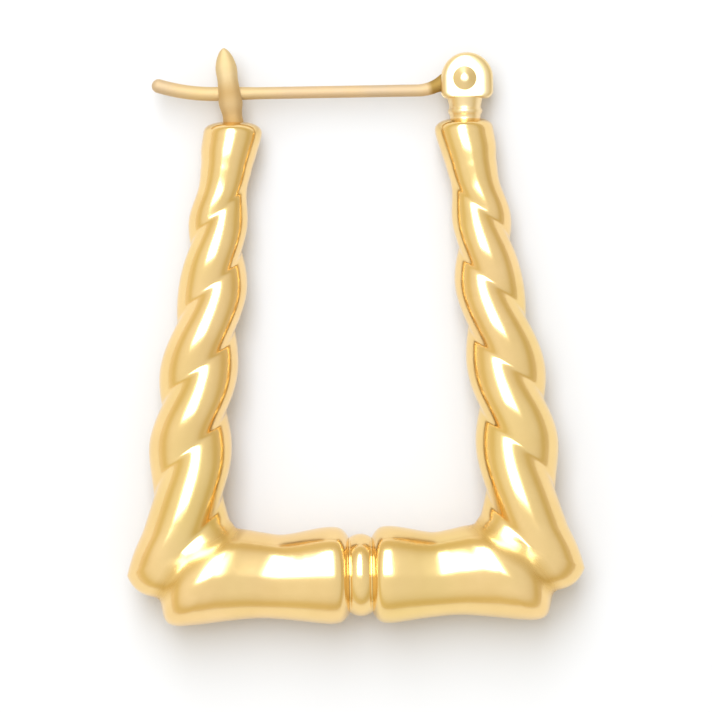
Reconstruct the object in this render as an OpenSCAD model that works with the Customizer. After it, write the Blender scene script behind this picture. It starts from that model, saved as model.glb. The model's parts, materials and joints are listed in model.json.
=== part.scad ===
// A hinged hoop earring in the twisted bamboo style. Two tapering twisted legs run down to a
// straight bar with a bamboo node in its middle, and a hinged ear post closes the top.
// It lies on its back on a table, front face up (+Z) and ear post towards +Y.
// The origin is on the table, below the middle of the earring's outline.

/* [Hoop] */
// Width of the hoop across its two bottom corners
hoop_w = 28.6; // [27.6:0.1:29.6]
// Top of the two legs, measured from the middle of the earring
leg_top_y = 13.3; // [13.1:0.1:13.5]
// Middle of the bar, measured from the middle of the earring
bar_y = -15.03; // [-15.2:0.01:-14.9]
// Depth of the grooves between the twisted strands, as a share of the radius
groove_depth = 0.2; // [0.1:0.01:0.26]
// Fullness of the strands, where a lower value is fuller
strand_power = 0.85; // [0.7:0.05:1.2]
// Length of the domed top of a leg
cap_h = 0.84; // [0.6:0.02:1]
// Length of the rounded foot of a leg, inside the bar's end
toe_h = 0.55; // [0.4:0.05:0.7]

/* [Bar] */
// Radius of the bar at the two swellings beside the middle ring
bar_r = 3.05; // [2.9:0.05:3.2]
// Distance of the two flares near the bar's ends from the middle of the hoop
flare_x = 9.7; // [9.5:0.05:9.9]
// Length of each end of the bar beyond its flare
bar_end_h = 4; // [3.8:0.1:4.1]
// Lean of the flares towards the corners, as a share of their height
bar_lean = 0.6; // [0.4:0.05:0.65]
// Radius of the ring in the middle of the bar
ring_r = 2.38; // [2.2:0.02:2.5]
// Radius at the bottom of the grooves beside the ring
ring_groove_r = 2.1; // [1.9:0.02:2.15]
// Half the width of the ring, from its middle to either groove
ring_half_w = 0.68; // [0.5:0.02:0.8]
// Distance of the ring from the middle of the bar
ring_shift = 0.3; // [0:0.05:0.5]

/* [Ear post] */
// Diameter of the wire where it passes through the ear
wire_d = 0.76; // [0.7:0.02:0.8]
// Diameter of the wire's free tail
tail_d = 0.88; // [0.8:0.02:0.9]
// Outer radius of the eye that turns on the rivet
eye_r = 1.15; // [1:0.05:1.2]
// Thickness of the eye
eye_t = 0.85; // [0.8:0.01:0.87]
// Drop from the rivet to the straight part of the wire
post_drop = 0.7; // [0.6:0.02:0.8]
// Diameter of the wire where it joins the eye
neck_d = 0.82; // [0.82:0.01:0.83]
// Slope of the wire where it leaves the eye
neck_slope = 22; // [18:1:26]
// Radius of the bend from the sloping to the straight part
neck_bend_r = 2.7; // [2:0.1:3]
// Length of the straight wire that the ear hangs on
stretch_len = 9.6; // [9:0.1:10]
// Length over which the wire thickens towards its tail
swell_len = 3; // [2.5:0.1:3.2]
// Radius of the upward bend of the tail
tail_bend_r = 12; // [11:0.5:14]
// Angle of the upward bend of the tail
tail_angle = 17.5; // [16:0.5:18.5]

/* [Hinge] */
// Distance of the rivet from the middle of the hoop
hinge_x = 7.34; // [7.2:0.02:7.5]
// Height of the rivet above the top of the leg
hinge_rise = 2.61; // [2.55:0.01:2.7]
// Radius of the round top of the ears
ear_r = 1.62; // [1.5:0.02:1.64]
// Distance of the ears' middle from the rivet, away from the post
ear_shift = 0.15; // [0:0.01:0.2]
// Distance of the ears' straight lower edge below the rivet
ear_drop = 1.25; // [1.2:0.05:1.3]
// Radius of the ears' lower corners
ear_corner_r = 0.45; // [0.3:0.05:0.6]
// Thickness of each ear
ear_t = 0.5; // [0.4:0.05:0.6]
// Space between the ears, and between the prongs of the catch
jaw_gap = 0.95; // [0.93:0.01:1]
// Radius of the round neck under the ears
neck_r = 1.1; // [1:0.05:1.2]
// Radius of the rivet
rivet_r = 0.4; // [0.35:0.01:0.42]
// Radius of the rivet's domed heads
rivet_head_r = 0.73; // [0.65:0.01:0.8]
// Height of the rivet's domed heads
rivet_head_h = 0.32; // [0.25:0.01:0.35]
// Free space all round the rivet inside the eye
eye_play = 0.05; // [0.03:0.01:0.08]
// Free space between the rivet and the ears
rivet_play = 0.01; // [0.01:0.01:0.02]

/* [Catch] */
// Distance of the catch's foot from the middle of the hoop
catch_x = 7.18; // [7:0.02:7.3]
// Lean of the catch away from the middle
catch_lean = 6.5; // [4:0.5:8]
// Height of the catch above the top of the leg
catch_h = 4.78; // [4.6:0.02:4.9]
// Thickness of each prong
prong_t = 0.42; // [0.35:0.01:0.5]
// Free space under the wire in the catch
catch_play = 0.08; // [0.05:0.01:0.15]

/* [Hidden] */

GOLD = "#e3bd6a";
GOLD_PALE = "#edcf8a";

// Sides of a leg's section, rings along its twisted part, and steps in its two rounded ends
LEG_SIDES = 28;
LEG_RINGS = 48;
CAP_STEPS = 5;
TOE_STEPS = 3;
// Sides of the bar, and steps along the ring, along each segment and round each end
BAR_SIDES = 32;
RING_STEPS = 2;
SEGMENT_STEPS = 12;
SEGMENT_CROWD = 1.6;
END_STEPS = 4;
// Facets of a full circle on the small fittings
FINE = 48;

// The leg's sections from its top to its foot in the corner, keyed by distance below the top
OUT = 1;     // distance of the leg's middle from the middle of the hoop
HALF_W = 2;  // half the width over the strands
HALF_D = 3;  // half the depth over the strands
TILT = 4;    // slope of the section, rising outwards
TURN = 5;    // half turns of the twist, whole where a groove faces front
LEG = [
    [0.00, 7.22, 1.83, 1.83, 7, -1.23],
    [0.84, 7.28, 1.83, 1.83, 7, -1.04],
    [1.78, 7.50, 1.74, 1.74, 7, -0.83],
    [2.72, 7.66, 1.60, 1.60, 7, -0.62],
    [4.16, 7.92, 1.58, 1.58, 7, -0.30],
    [6.47, 8.27, 1.92, 1.92, 7, 0.21],
    [9.91, 8.58, 2.12, 2.12, 7, 0.97],
    [12.72, 9.10, 2.28, 2.28, 7, 1.51],
    [16.28, 9.72, 2.47, 2.47, 6, 2.20],
    [19.72, 10.15, 2.58, 2.58, 4, 2.89],
    [22.28, 10.30, 2.63, 2.63, 1, 3.36],
    [24.91, 10.45, 2.76, 2.73, -8, 3.74],
    [26.16, 10.72, 3.15, 2.78, -17, 3.91],
    [27.25, 11.00, 3.59, 2.80, -25, 4.07],
];
// Below the top, the grooves start and reach their full depth
GROOVE_START = 2.9;
GROOVE_FULL = 5.8;

// The bar's sections from the groove beside the ring to the flare, keyed by share of the way
SWELL = 1;   // radius as a share of the bar's largest radius
LEAN = 2;    // share of the flares' lean
BAR = [
    [0.00, 0.689, 0.0],
    [0.015, 0.810, 0.0],
    [0.05, 0.940, 0.0],
    [0.11, 1.000, 0.0],
    [0.19, 0.975, 0.0],
    [0.30, 0.915, 0.05],
    [0.46, 0.869, 0.25],
    [0.68, 0.859, 0.6],
    [0.84, 0.892, 0.85],
    [0.94, 0.972, 0.97],
    [1.00, 0.993, 1.0],
];

// The catch's outline from its foot to its tip, keyed by share of its height
SIDE = 1;    // half width
CATCH = [
    [0.00, 0.62],
    [0.11, 0.42],
    [0.25, 0.66],
    [0.42, 0.58],
    [0.60, 0.68],
    [0.76, 0.72],
    [0.87, 0.56],
    [0.95, 0.32],
    [1.00, 0.06],
];
CATCH_STEPS = 22;
// How deep the catch and the hinge's neck are sunk into the legs
FOOT_SINK = 0.7;
// Free space between the turning eye and the bottom of the slot between the ears
SEAT_PLAY = 0.2;
// How far the neck of the wire runs on inside the eye, short of the rivet's middle
NECK_END = 0.7;
// How much thicker the ball on the tail's tip is
TIP_EXTRA = 0.03;
// How far cutting shapes run past what they cut, and how far joined wires overlap
OVER = 1;
LAP = 0.1;

leg_len = LEG[len(LEG) - 1][0];
cap_r = LEG[0][HALF_W];
wire_z = cap_r;
hinge_y = leg_top_y + hinge_rise;
ears_t = jaw_gap + 2 * ear_t;
ear_seat = eye_r + SEAT_PLAY;
post_y = hinge_y - post_drop;
wire_r = wire_d / 2;
tail_r = tail_d / 2;
tip_r = tail_r + TIP_EXTRA;
// The neck runs on until it is level with the rivet, inside the eye
neck_len = (post_drop - neck_bend_r * (1 - cos(neck_slope))) / sin(neck_slope);
stretch_from = NECK_END + neck_len * cos(neck_slope) + neck_bend_r * sin(neck_slope);

// Smooth value of one column of a table at a place along its first column
function row_of(rows, at, i = 0) =
    (i >= len(rows) - 2 || at <= rows[i + 1][0]) ? i : row_of(rows, at, i + 1);
function slope_at(rows, col, i) =
    let(a = max(i - 1, 0), b = min(i + 1, len(rows) - 1))
    (rows[b][col] - rows[a][col]) / (rows[b][0] - rows[a][0]);
function smooth(rows, col, at) =
    let(
        i = row_of(rows, at),
        span = rows[i + 1][0] - rows[i][0],
        t = (at - rows[i][0]) / span,
        from = rows[i][col],
        to = rows[i + 1][col],
        rise = to - from,
        leave = slope_at(rows, col, i) * span,
        meet = slope_at(rows, col, i + 1) * span
    )
    from + t * (leave + t * (3 * rise - 2 * leave - meet + t * (leave + meet - 2 * rise)));
function ramp(at, start, full) =
    let(t = min(1, max(0, (at - start) / (full - start))))
    t * t * (3 - 2 * t);

// Share of the full radius at one side of a twisted section, 0 and 180 degrees being the grooves
function strand(side, depth) = 1 - depth * (1 - pow(abs(sin(side)), strand_power));

// One ring of points round the right leg, shrunk by size and pushed on past its section by push
function leg_ring(down, size, push) =
    let(
        tilt = smooth(LEG, TILT, down),
        outward = [cos(tilt), sin(tilt), 0],
        onward = [sin(tilt), -cos(tilt), 0],
        middle = [
            smooth(LEG, OUT, down),
            leg_top_y - down,
            wire_z + (bar_r - wire_z) * down / leg_len
        ] + onward * push,
        half_w = size * smooth(LEG, HALF_W, down),
        half_d = size * smooth(LEG, HALF_D, down),
        start = 90 + 180 * smooth(LEG, TURN, down),
        depth = groove_depth * ramp(down, GROOVE_START, GROOVE_FULL)
    )
    [
        for (k = [0:LEG_SIDES - 1])
        let(side = 360 * k / LEG_SIDES, a = start + side, r = strand(side, depth))
        middle - outward * half_w * r * cos(a) + [0, 0, half_d * r * sin(a)]
    ];

// Closed skin over a stack of rings with a point at each end
module skin(first, rings, last) {
    sides = len(rings[0]);
    points = [first, for (ring = rings) each ring, last];
    end = len(points) - 1;
    faces = [
        for (k = [0:sides - 1])
        let(n = (k + 1) % sides)
        [0, 1 + n, 1 + k],
        for (i = [0:len(rings) - 2])
        for (k = [0:sides - 1])
        let(n = (k + 1) % sides, a = 1 + i * sides, b = a + sides)
        each [[a + k, b + n, b + k], [a + k, a + n, b + n]],
        for (k = [0:sides - 1])
        let(n = (k + 1) % sides, a = 1 + (len(rings) - 1) * sides)
        [end, a + k, a + n]
    ];
    polyhedron(points, faces, convexity = 10);
}

module twisted_leg() {
    cap = [
        for (i = [1:CAP_STEPS])
        let(a = 90 * i / CAP_STEPS)
        leg_ring(cap_h * (1 - cos(a)), sin(a), 0)
    ];
    shaft = [
        for (i = [1:LEG_RINGS])
        leg_ring(cap_h + (leg_len - cap_h) * i / LEG_RINGS, 1, 0)
    ];
    toe = [
        for (i = [1:TOE_STEPS - 1])
        let(a = 90 * i / TOE_STEPS)
        leg_ring(leg_len, cos(a), toe_h * sin(a))
    ];
    top = leg_ring(0, 0, 0)[0];
    foot = leg_ring(leg_len, 0, toe_h)[0];
    skin(top, concat(cap, shaft, toe), foot);
}

// Sections of half the bar from the ring's middle outwards, as distance, radius and lean
function half_bar(reach) =
    let(flare_r = bar_r * smooth(BAR, SWELL, 1))
    [
        for (i = [0:RING_STEPS - 1])
        let(t = i / RING_STEPS)
        [t * ring_half_w, ring_r - (ring_r - ring_groove_r) * t * t, 0],
        for (i = [0:SEGMENT_STEPS])
        let(t = pow(i / SEGMENT_STEPS, SEGMENT_CROWD))
        [
            ring_half_w + (reach - ring_half_w) * t,
            bar_r * smooth(BAR, SWELL, t),
            bar_lean * smooth(BAR, LEAN, t)
        ],
        for (i = [1:END_STEPS])
        let(a = 90 * i / END_STEPS)
        [reach + bar_end_h * sin(a), flare_r * cos(a) * cos(a), bar_lean * (1 - sin(a))]
    ];

// One ring of points round the bar on the right or left side of its ring
function bar_ring(section, side) =
    [
        for (k = [0:BAR_SIDES - 1])
        let(a = 360 * k / BAR_SIDES, up = section[1] * cos(a))
        [ring_shift + side * (section[0] - section[2] * up), bar_y + up, bar_r - section[1] * sin(a)]
    ];

module bamboo_bar() {
    right = half_bar(flare_x - ring_shift);
    left = half_bar(flare_x + ring_shift);
    last = len(right) - 1;
    rings = [
        for (i = [last - 1:-1:1]) bar_ring(left[i], -1),
        for (i = [0:last - 1]) bar_ring(right[i], 1)
    ];
    skin(bar_ring(left[last], -1)[0], rings, bar_ring(right[last], 1)[0]);
}

// Legs and bar as one tube, pressed to the hoop's full width
module hoop_tube() {
    resize([hoop_w, 0, 0])
        union() {
            bamboo_bar();
            twisted_leg();
            mirror([1, 0, 0])
                twisted_leg();
        }
}

// Solid outline of the ears, round at the top and straight at the bottom, before they are parted
module ear_block() {
    low = ear_drop - ear_corner_r;
    cylinder(r = ear_r, h = ears_t, center = true, $fn = FINE);
    translate([-ear_r, -low, -ears_t / 2])
        cube([2 * ear_r, low, ears_t]);
    translate([ear_corner_r - ear_r, -ear_drop, -ears_t / 2])
        cube([2 * (ear_r - ear_corner_r), ear_drop, ears_t]);
    for (side = [-1, 1])
        translate([side * (ear_r - ear_corner_r), -low, 0])
        cylinder(r = ear_corner_r, h = ears_t, center = true, $fn = FINE);
}

// Two ears on a round neck, drilled for the rivet
module hinge_ears() {
    translate([hinge_x, hinge_y, wire_z])
        difference() {
            union() {
                translate([ear_shift, 0, 0])
                    ear_block();
                translate([0, -hinge_rise - FOOT_SINK, 0])
                    rotate([-90, 0, 0])
                    cylinder(r = neck_r, h = hinge_rise + FOOT_SINK - ear_drop + LAP, $fn = FINE);
            }
            translate([-ear_r - OVER, -ear_seat, -jaw_gap / 2])
                cube([2 * (ear_r + OVER), ear_seat + ear_r + OVER, jaw_gap]);
            cylinder(r = rivet_r + rivet_play, h = ears_t + 2 * OVER, center = true, $fn = FINE);
        }
}

// Two leaf-shaped prongs on one stem, open at the top for the wire
module catch_prongs() {
    full_t = jaw_gap + 2 * prong_t;
    side = [
        for (i = [0:CATCH_STEPS])
        let(t = i / CATCH_STEPS)
        [smooth(CATCH, SIDE, t), t * catch_h]
    ];
    outline = concat(
        [[CATCH[0][SIDE], -FOOT_SINK]],
        side,
        [for (i = [CATCH_STEPS:-1:0]) [-side[i][0], side[i][1]]],
        [[-CATCH[0][SIDE], -FOOT_SINK]]
    );
    slot_y = post_y - tail_r - catch_play;
    difference() {
        translate([-catch_x, leg_top_y, wire_z - full_t / 2])
            rotate([0, 0, catch_lean])
            linear_extrude(full_t)
            polygon(outline);
        translate([-catch_x - 2 * catch_h, slot_y, wire_z - jaw_gap / 2])
            cube([3 * catch_h, catch_h, jaw_gap]);
    }
}

module hoop() {
    color(GOLD)
        union() {
            hoop_tube();
            hinge_ears();
            catch_prongs();
        }
}

// Bent wire that starts at the origin, leaves towards +X and turns up to +Y
module bent_wire(bend_r, angle, r) {
    translate([0, bend_r, 0])
        rotate([0, 0, -90])
        rotate_extrude(angle = angle, $fn = FINE)
        translate([bend_r, 0])
        circle(r = r, $fn = FINE);
}

// Sloping wire between the eye and the bend, which it overlaps a little
module neck_wire() {
    translate([neck_bend_r * sin(neck_slope), neck_bend_r * (1 - cos(neck_slope)), 0])
        rotate([0, 0, neck_slope])
        rotate([0, 90, 0])
        translate([0, 0, -LAP])
        cylinder(r = neck_d / 2, h = neck_len + LAP, $fn = FINE);
}

// Straight wire towards -X with its thicker, upturned tail, from the bend at the origin
module free_wire() {
    rotate([0, -90, 0])
        cylinder(r = wire_r, h = stretch_len, $fn = FINE);
    translate([-stretch_len, 0, 0])
        rotate([0, -90, 0])
        cylinder(r1 = wire_r, r2 = tail_r, h = swell_len, $fn = FINE);
    translate([-stretch_len - swell_len, 0, 0])
        mirror([1, 0, 0]) {
            bent_wire(tail_bend_r, tail_angle, tail_r);
            translate([tail_bend_r * sin(tail_angle), tail_bend_r * (1 - cos(tail_angle)), 0])
                sphere(r = tip_r, $fn = FINE);
        }
}

module ear_post() {
    color(GOLD_PALE)
        translate([hinge_x, hinge_y, wire_z])
        difference() {
            union() {
                cylinder(r = eye_r, h = eye_t, center = true, $fn = FINE);
                translate([-stretch_from, -post_drop, 0]) {
                    neck_wire();
                    bent_wire(neck_bend_r, neck_slope, wire_r);
                    free_wire();
                }
            }
            cylinder(r = rivet_r + eye_play, h = eye_t + 2 * OVER, center = true, $fn = FINE);
        }
}

module rivet_head() {
    dome_r = (rivet_head_r * rivet_head_r + rivet_head_h * rivet_head_h) / (2 * rivet_head_h);
    intersection() {
        translate([0, 0, rivet_head_h - dome_r])
            sphere(r = dome_r, $fn = FINE);
        cylinder(r = rivet_head_r, h = rivet_head_h, $fn = FINE);
    }
}

module hinge_rivet() {
    reach = ears_t / 2 + 2 * rivet_play;
    color(GOLD)
        translate([hinge_x, hinge_y, wire_z])
        union() {
            cylinder(r = rivet_r, h = 2 * reach, center = true, $fn = FINE);
            translate([0, 0, reach])
                rivet_head();
            mirror([0, 0, 1])
                translate([0, 0, reach])
                rivet_head();
        }
}

hoop();
ear_post();
hinge_rivet();
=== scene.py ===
"""Looks of a hinged hoop earring in the twisted bamboo style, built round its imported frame.

The twisted legs, the bamboo bar, the catch, the hinge's neck, the rivet and the ear wire are swept
from short rows of sections by one geometry node tree. The hinge's ears are built ring by ring.
Sizes are in metres where nothing else is said, in the frame's own axes: the earring lies on its
back with its front face up (+Z) and its ear post towards +Y.
"""

import json
import math
from collections import namedtuple

import bmesh
import bpy
from bpy.props import FloatProperty, FloatVectorProperty, PointerProperty
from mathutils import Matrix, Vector
from mathutils.bvhtree import BVHTree


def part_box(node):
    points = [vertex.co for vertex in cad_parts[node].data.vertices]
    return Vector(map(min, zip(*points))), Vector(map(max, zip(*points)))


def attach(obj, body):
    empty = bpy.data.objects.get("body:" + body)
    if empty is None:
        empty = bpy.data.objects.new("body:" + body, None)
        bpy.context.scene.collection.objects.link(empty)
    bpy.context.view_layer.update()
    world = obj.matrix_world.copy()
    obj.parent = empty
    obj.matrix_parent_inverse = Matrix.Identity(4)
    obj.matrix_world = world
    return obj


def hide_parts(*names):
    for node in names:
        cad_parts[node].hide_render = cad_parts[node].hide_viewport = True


bl_info = {
    "name": "Bamboo Hoop Earring",
    "version": (1, 0, 0),
    "blender": (4, 5, 0),
    "location": "View3D > Sidebar > Earring",
    "description": "Builds a twisted bamboo hoop earring with a hinged ear post",
    "category": "Add Mesh",
}

MM = 0.001
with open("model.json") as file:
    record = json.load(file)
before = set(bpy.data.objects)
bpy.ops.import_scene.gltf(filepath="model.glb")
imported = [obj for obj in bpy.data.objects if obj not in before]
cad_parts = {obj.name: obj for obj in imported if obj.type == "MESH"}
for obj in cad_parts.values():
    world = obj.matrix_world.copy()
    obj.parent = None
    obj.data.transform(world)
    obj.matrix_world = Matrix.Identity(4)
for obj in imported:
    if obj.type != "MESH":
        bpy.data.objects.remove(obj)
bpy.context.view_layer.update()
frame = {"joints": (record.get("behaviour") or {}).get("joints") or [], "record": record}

HOOP_LOW, HOOP_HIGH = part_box("hoop")
RIVET_LOW, RIVET_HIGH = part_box("hinge_rivet")
HINGE = Vector(frame["joints"][0]["pos_m"])
EAR_WIRE = frame["record"]["mounts"][0]
WIRE_Y = EAR_WIRE["pos_m"][1]
WIRE_R = EAR_WIRE["dims"]["r_mm"] * MM
WIRE_LENGTH = EAR_WIRE["dims"]["length_mm"] * MM

HOOP_BODY = "hoop_body"
POST_BODY = "post_body"


def table_of(columns, *rows):
    """Rows of numbers with named columns."""
    row = namedtuple("Row", columns)
    return [row(*numbers) for numbers in rows]


# Sections of a leg from its top to its foot, in millimetres and degrees. Down is measured from the
# leg's level, which the top is a little above, and out from the middle of the hoop. A groove faces
# front where half turns are whole.
LEG = table_of(
    "down out half_w half_d tilt half_turns",
    (-0.16, 7.20, 1.80, 1.80, 1, -1.27),
    (0.60, 7.24, 1.83, 1.83, 3, -1.10),
    (1.78, 7.50, 1.74, 1.81, 6, -0.83),
    (2.72, 7.66, 1.60, 1.71, 7, -0.62),
    (4.16, 7.92, 1.58, 1.58, 7, -0.30),
    (6.47, 8.27, 1.92, 1.92, 7, 0.21),
    (9.91, 8.58, 2.12, 2.12, 7, 0.97),
    (12.72, 9.10, 2.28, 2.28, 7, 1.51),
    (16.28, 9.72, 2.47, 2.47, 6, 2.20),
    (19.72, 10.15, 2.58, 2.58, 4, 2.89),
    (22.28, 10.30, 2.63, 2.63, 1, 3.36),
    (24.91, 10.55, 2.86, 2.73, -8, 3.74),
    (25.90, 10.75, 3.30, 2.78, -16, 3.88),
    (26.75, 10.85, 3.70, 2.80, -22, 4.00),
)
# How far down the grooves start and reach their full depth, in millimetres
GROOVE_START = 2.9
GROOVE_FULL = 5.8
# How much of a groove's bottom is rounded, and how full a leg's top and its rounded foot are
GROOVE_ROUND = 0.07
CAP_FULL = 2.8
TOE_FULL = 2.4
# How far the feet stand up above the bar's axis, in millimetres
FOOT_LIFT = 0.2

# Sections of the bar from the groove beside its ring to the flare, keyed by share of the way, as
# shares of the bar's radius and of its full lean
BAR = table_of(
    "along swell lean",
    (0.00, 0.767, 0.0),
    (0.01, 0.812, 0.0),
    (0.022, 0.861, 0.0),
    (0.036, 0.908, 0.0),
    (0.051, 0.945, 0.0),
    (0.065, 0.968, 0.0),
    (0.08, 0.982, 0.0),
    (0.10, 0.992, 0.0),
    (0.13, 0.997, 0.0),
    (0.165, 0.993, 0.0),
    (0.22, 0.975, 0.02),
    (0.32, 0.933, 0.1),
    (0.43, 0.888, 0.25),
    (0.54, 0.857, 0.42),
    (0.62, 0.861, 0.55),
    (0.71, 0.889, 0.7),
    (0.81, 0.926, 0.82),
    (0.91, 0.967, 0.93),
    (1.00, 0.988, 1.0),
)
# Power that crowds the bar's sections towards the ring
BAR_CROWD = 1.6

# How much shade is painted in the grooves beside the ring, and how far that reaches in millimetres
RING_SHADE = 0.1
RING_SHADE_REACH = 0.7

# The catch's outline from its foot to its tip in millimetres, keyed by share of its height, with
# the shade painted on it, most at its foot and where the wire crosses, and how square its sections
# are
CATCH = table_of(
    "up half_w half_d stain",
    (0.00, 0.65, 0.895, 0.18),
    (0.12, 0.61, 0.82, 0.16),
    (0.26, 0.74, 0.895, 0.14),
    (0.42, 0.75, 0.895, 0.16),
    (0.58, 0.70, 0.895, 0.11),
    (0.74, 0.73, 0.88, 0.06),
    (0.85, 0.62, 0.80, 0.04),
    (0.92, 0.47, 0.73, 0.04),
    (0.97, 0.30, 0.66, 0.04),
    (1.00, 0.10, 0.55, 0.04),
)
CATCH_SQUARE = 2.5

# A rivet's head from the ear upwards, as shares of the head's height and radius
RIVET_HEAD = table_of(
    "up radius",
    (0.00, 0.98), (0.04, 1.00), (0.10, 0.97), (0.30, 0.83), (0.50, 0.69), (0.70, 0.55),
    (0.90, 0.40), (0.97, 0.32), (1.00, 0.22),
)

# The neck under the hinge's ears from the leg upwards, in millimetres from the rivet
NECK = table_of(
    "up radius",
    (-3.30, 1.02), (-2.92, 1.28), (-2.74, 1.12), (-2.52, 0.96), (-2.30, 0.98), (-2.14, 1.05),
    (-2.03, 1.07), (-1.93, 1.05), (-1.82, 0.99), (-1.60, 1.02), (-1.15, 1.14),
)

# The wire's neck starts this far from the rivet, in millimetres, and is this much broader there,
# until this share of its length
NECK_END = 0.7
NECK_BROAD = 0.5
NECK_HOLD = 0.2
# Rings of an ear's flat faces, as shares of the way from their edge to the bore
FACE_RINGS = (0.04, 0.1, 0.4, 0.7, 1.0)
# An ear's flat face has smaller corners than its outline, by this factor
FACE_CORNER = 0.7
# How high the slot between the ears is cut, in radii of the ears
SLOT_RISE = 3
# Where the shadow of the hinge's ears is painted on the wire, and how far it reaches both ways, in
# millimetres from the rivet
EAR_SHADOW_AT = 1.65
EAR_SHADOW_REACH = 0.8
# How sharply the painted shadow ends, for each millimetre, how much the clouds add to it and what
# they have to make up for
EAR_SHADOW_EDGE = 3.0
EAR_SHADOW_CLOUDS = 0.2
EAR_SHADOW_LEAST = 0.1

# How much shade is painted in the soldered corners, how much further that reaches than the solder,
# which part of the solder is smoothed, how strongly and how often
SOLDER_SHADE = 0.24
SOLDER_SPREAD = 3.2
SOLDER_SOFT = 0.7
SOLDER_SMOOTHING = 0.5
SOLDER_PASSES = 4
# Points of the joined tube that are nearer than this become one, in millimetres
WELD = 0.004
# Edges sharper than this are worn, and keep their edge in the shading
SOFT_ANGLE = math.radians(38)
# Faces across a worn edge, and how many times the fittings' wear the wire and its eye have
WORN_FACES = 3
WIRE_WEAR = 0.5
EYE_WEAR = 2

# Marks in the gold, each from a noise whose patches are about 1 / scale metres wide, with a scale
# for each axis or one for all. What lies above the floor shows, raised by the gain. It has this
# much of its own tone, dulls the gold this much, and has this part of the finest dents.
Mark = namedtuple("Mark", "scale detail floor gain tone dull dent", defaults=(0.0, 0.0, 0.0))
CLOUDS = Mark(420.0, 3.0, 0.35, 2.2, tone=0.35, dull=0.25)
DRIFT = Mark(150.0, 1.0, 0.42, 3.0, tone=0.4)
SPECKS = Mark(5200.0, 2.0, 0.62, 6.0, dull=0.05, dent=0.6)
# Both kinds of hairlines have the dullness and the dents of the first
HAIRS = Mark((9000.0, 900.0, 9000.0), 2.0, 0.60, 5.0, dull=0.02, dent=0.4)
CROSS_HAIRS = Mark((1100.0, 14000.0, 7000.0), 2.0, 0.62, 5.0)
# A crease is a mark too, from the depth that is stored on the mesh in place of a noise. Its tone is
# painted shade: in the grooves, beside the ring, in the soldered corners and on the catch
CREASE_SHADE = Mark(None, None, 0.09, 9.0, tone=0.9, dull=0.8)
# Scale of the soft waves, and depth of the finest dents in millimetres
WAVE_SCALE = 330.0
DENT = 0.0012

# The finishes, with the names of their colours and their roughness in GoldLook, the height of
# their soft waves in millimetres, and whether the shadow of the hinge's ears is painted on them
Finish = namedtuple("Finish", "name tint deep polish wave_h tarnished", defaults=(False,))
HOOP_GOLD = Finish("Polished hoop gold", "gold", "shade_and_cloud_gold", "polish", 0.020)
HINGE_GOLD = Finish("Hinge gold", "fitting_gold", "gold", "satin", 0.004)
CATCH_GOLD = Finish("Catch gold", "catch_gold", "catch_shade_and_cloud", "drawn", 0.004)
# The wire has the shadow of the hinge's ears painted on it beside its eye
WIRE_GOLD = Finish("Ear wire gold", "wire_gold", "gold", "drawn", 0.002, True)
RIVET_GOLD = Finish("Rivet gold", "fitting_gold", "gold", "satin", 0.002)

# Steps of the finished meshes
LEG_SIDES = 88
LEG_STEPS = 270
CAP_STEPS = 16
TOE_STEPS = 16
BAR_SIDES = 96
RING_STEPS = 9
SEGMENT_STEPS = 92
END_STEPS = 20
CATCH_STEPS = 60
SLOT_STEPS = 16
WIRE_SIDES = 40
ROUND_SIDES = 72
EAR_ARC_STEPS = 40
CORNER_STEPS = 8
SHOULDER_STEPS = 8
NECK_STEPS = 40
HEAD_STEPS = 40
WIRE_NECK_STEPS = 14
WIRE_BEND_STEPS = 16
SWELL_STEPS = 16
TAIL_STEPS = 30
TIP_STEPS = 8
EYE_ROUND_STEPS = 6

# Width of the camera's sensor in millimetres, and the nearest and farthest that it sees
SENSOR = 36.0
NEAREST = 0.01
FARTHEST = 10.0
# Half the width of the floor, and its gap below the earring in millimetres
FLOOR_HALF = 1.5
FLOOR_GAP = 0.002
# The studio's tones from below upwards, named as in StudioLook, keyed by place on its ramp
STUDIO_TONES = (
    (0.0, "table"), (0.14, "table"), (0.29, "flag"), (0.39, "flag"), (0.57, "wall"), (0.75, "sky"),
)
# How much higher the studio's dark flags stand at the sides than at the front and back
FLAG_RISE = 0.22
# How much brighter the studio is to the left, and darker to the right
LEFT_BRIGHT = 0.12

Section = namedtuple("Section", "middle across up turn groove stain", defaults=(0.0, 0.0, 0.0))


def in_metres(millimetres):
    """A length in metres."""
    return millimetres * MM


def setting(kind, convert=None, **fixed):
    """A maker of one kind of setting, from its name, its description and its default."""

    def make(name, description, default, **own):
        value = convert(default) if convert else default
        return kind(name=name, description=description, default=value, **{**fixed, **own})

    return make


# Kinds of settings. Places and lengths have their default in millimetres, and angles in degrees.
place = setting(FloatProperty, in_metres, subtype="DISTANCE", unit="LENGTH", precision=5)
length = setting(FloatProperty, in_metres, min=0.0, subtype="DISTANCE", unit="LENGTH", precision=5)
angle = setting(FloatProperty, math.radians, subtype="ANGLE", unit="ROTATION")
share = setting(FloatProperty, min=0.0, max=1.0, subtype="FACTOR")
radiance = setting(FloatProperty, min=0.0)
colour = setting(FloatVectorProperty, min=0.0, soft_max=1.0, size=3, subtype="COLOR")


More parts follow.
